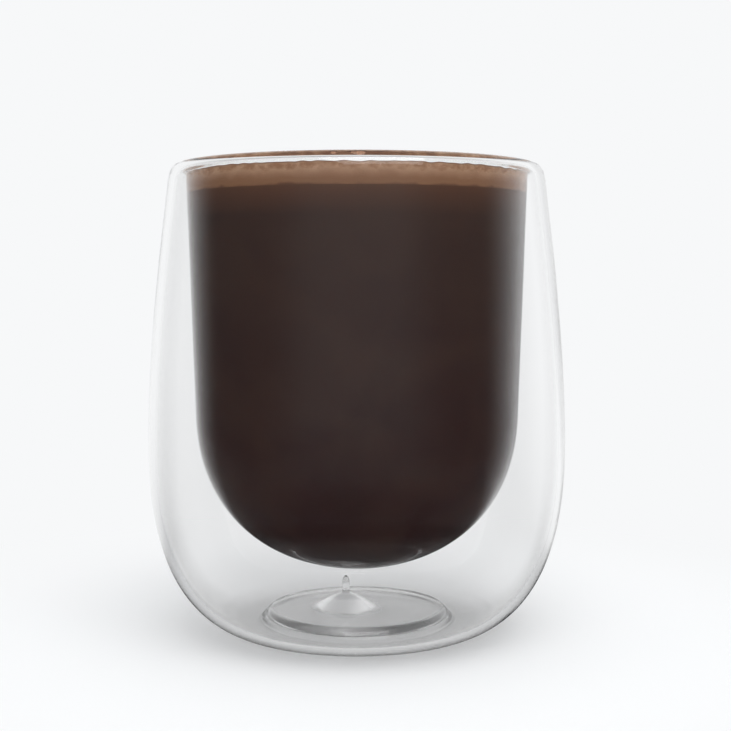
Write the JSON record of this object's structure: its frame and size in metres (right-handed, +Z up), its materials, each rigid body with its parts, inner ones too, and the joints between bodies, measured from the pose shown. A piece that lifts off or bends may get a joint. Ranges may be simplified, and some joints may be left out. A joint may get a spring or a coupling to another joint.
{
  "type": "caffe mocha in a double-walled glass",
  "caption": "Dark caffe mocha with a thin layer of brown milk foam, in a clear double-walled tumbler that narrows to a rounded lip.",
  "frame": {"origin": "middle of the foot ring, on the plane that the glass stands on", "axes": "+Z up along the glass's axis; the sealed tip in the base lies towards -X"},
  "size_m": [0.0882, 0.0882, 0.0985],
  "materials": {
    "glass": "clear borosilicate glass, smooth",
    "mocha": "dark chocolate and coffee drink, glossy",
    "foam": "brown milk foam with fine bubbles"
  },
  "bodies": {
    "root": {"glass": "glass", "mocha": "mocha", "foam": "foam"}
  },
  "joints": []
}
